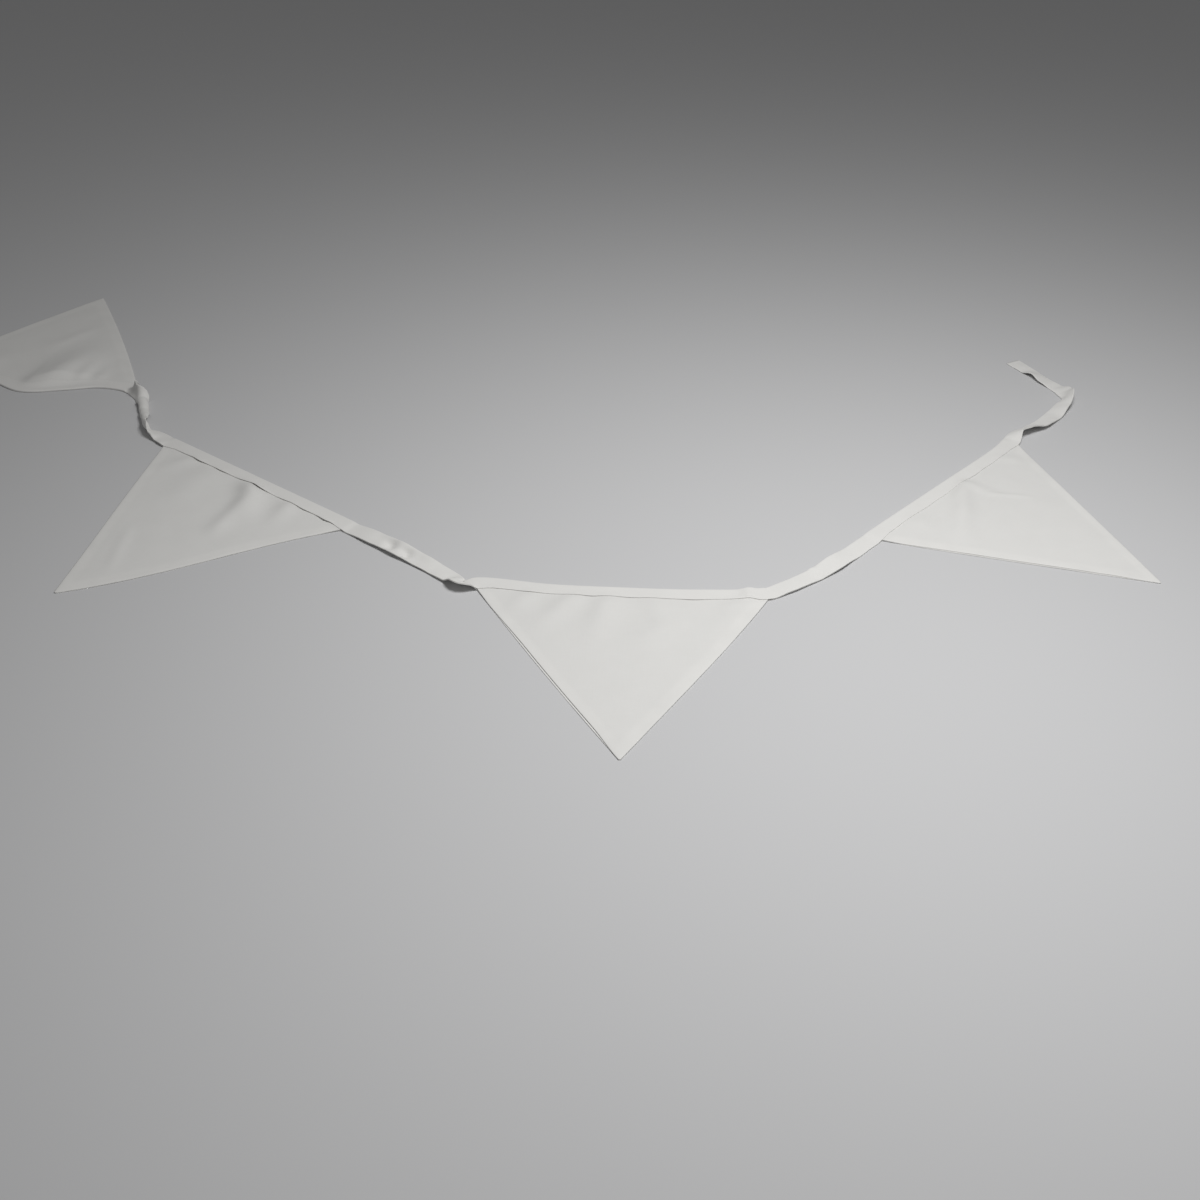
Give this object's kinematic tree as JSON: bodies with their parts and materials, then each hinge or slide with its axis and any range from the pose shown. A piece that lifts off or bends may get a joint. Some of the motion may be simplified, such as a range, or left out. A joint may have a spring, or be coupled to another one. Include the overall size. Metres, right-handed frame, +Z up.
{
  "type": "fabric bunting",
  "caption": "String of white cloth bunting lying on a surface: double-layered triangular pennants held by their top edges in a long folded tape with free tails.",
  "frame": {"origin": "on the surface it lies on, under the middle of the whole piece as it lies", "axes": "+X from the left tail towards the right tail, +Y away from the hanging points of the pennants, +Z up off the surface"},
  "size_m": [1.1022, 0.64, 0.0137],
  "materials": {
    "cloth": "matt white plain-weave cotton",
    "tape": "matt white folded cotton tape"
  },
  "bodies": {
    "root": {"tape": "tape", "pennant_1_back": "cloth", "pennant_1_front": "cloth", "pennant_2_back": "cloth", "pennant_2_front": "cloth", "pennant_3_back": "cloth", "pennant_3_front": "cloth", "pennant_4_back": "cloth", "pennant_4_front": "cloth"}
  },
  "joints": []
}
